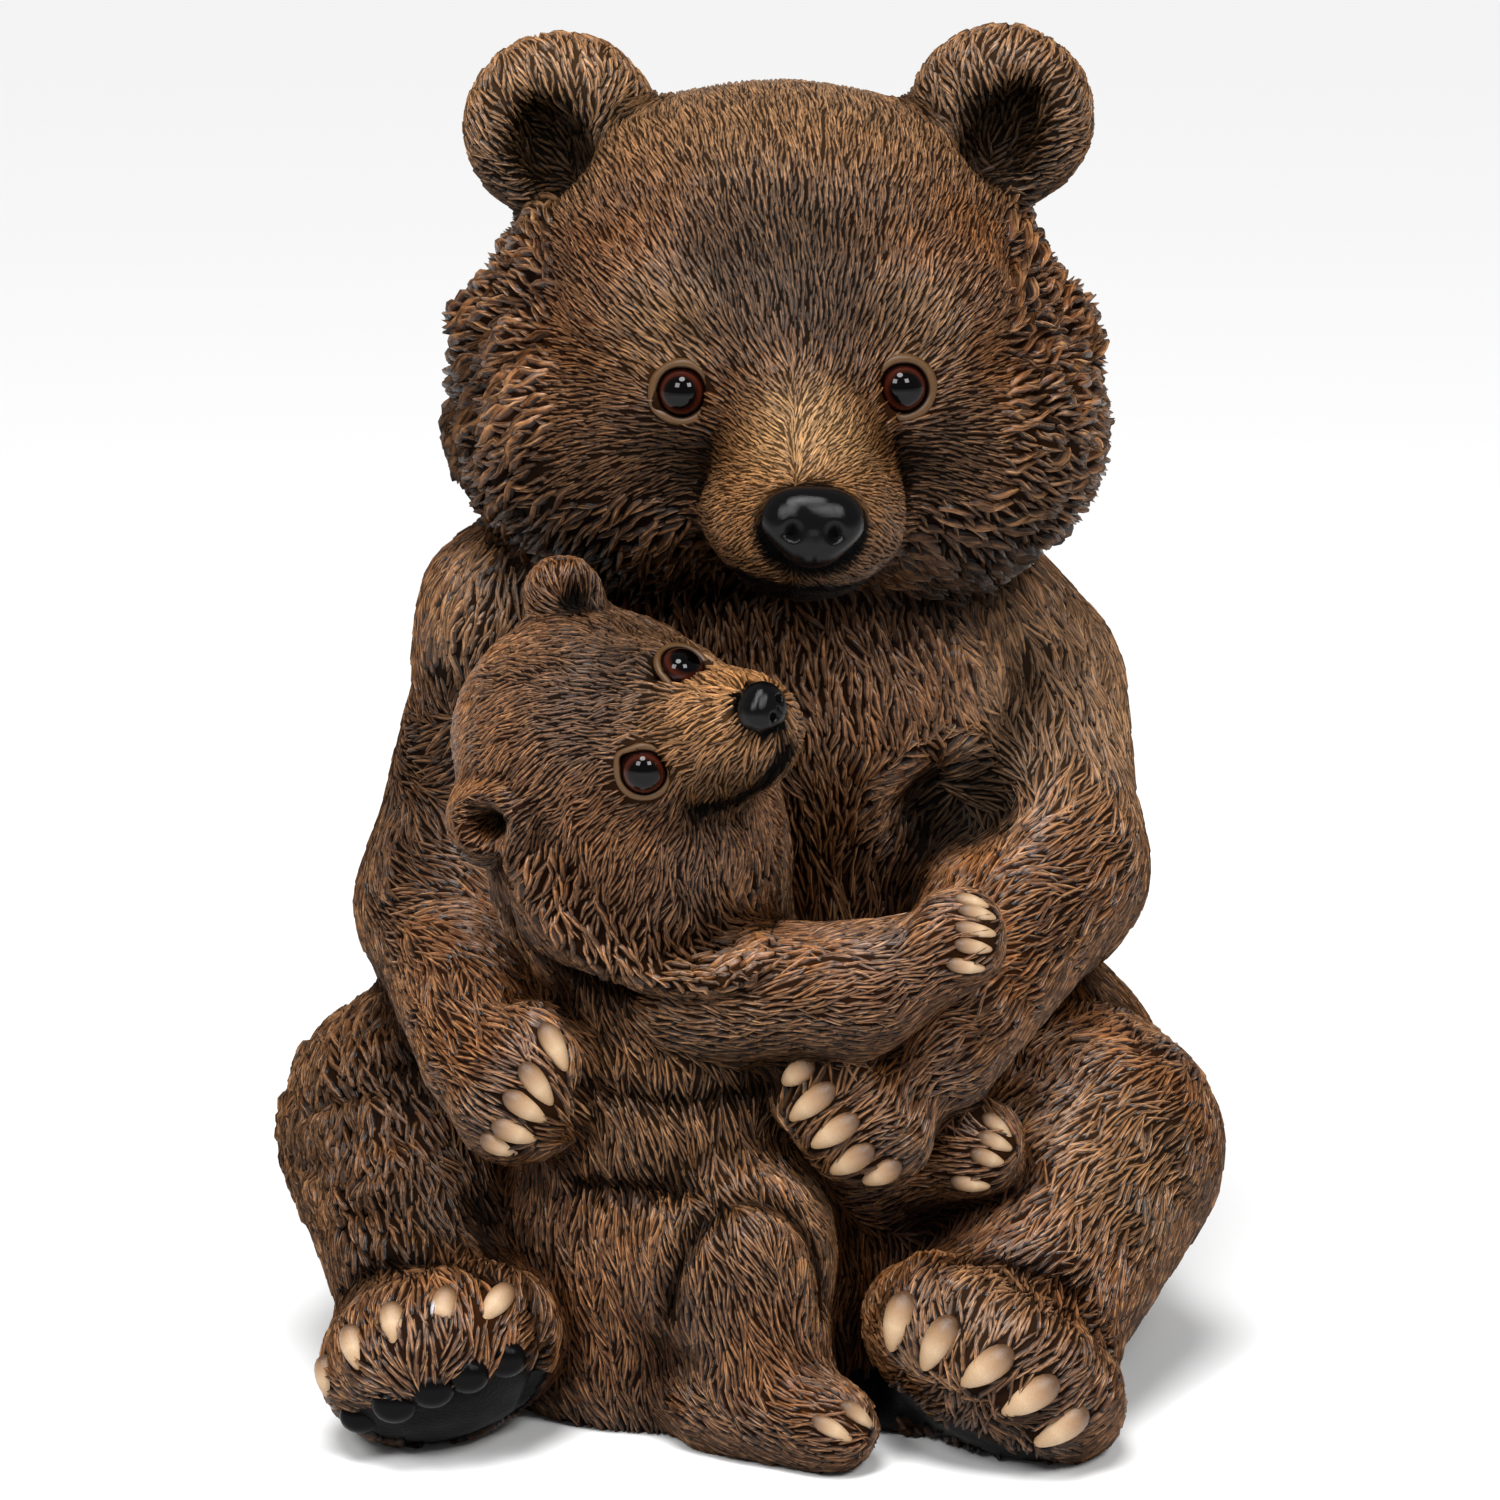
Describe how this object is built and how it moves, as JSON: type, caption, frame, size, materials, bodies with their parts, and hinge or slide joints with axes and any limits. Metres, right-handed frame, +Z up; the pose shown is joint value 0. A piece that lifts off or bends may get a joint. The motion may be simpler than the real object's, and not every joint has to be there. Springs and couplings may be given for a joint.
{
  "type": "bear and cub statue",
  "caption": "Painted cast resin garden statue of a seated mother bear holding her cub, with glass eyes set in; stands on its flat underside",
  "frame": {"origin": "middle of the flat underside, below the mother bear's trunk, on the surface that the statue stands on", "axes": "+Z up; the bears face -Y, towards the viewer; +X is the viewer's right"},
  "size_m": [0.2657, 0.2409, 0.3772],
  "materials": {
    "painted_resin": "matt paint, dry-brushed",
    "eye_glass": "high gloss"
  },
  "bodies": {
    "root": {"statue": "painted_resin", "mother_left_eye": "eye_glass", "mother_right_eye": "eye_glass", "cub_upper_eye": "eye_glass", "cub_lower_eye": "eye_glass"}
  },
  "joints": []
}
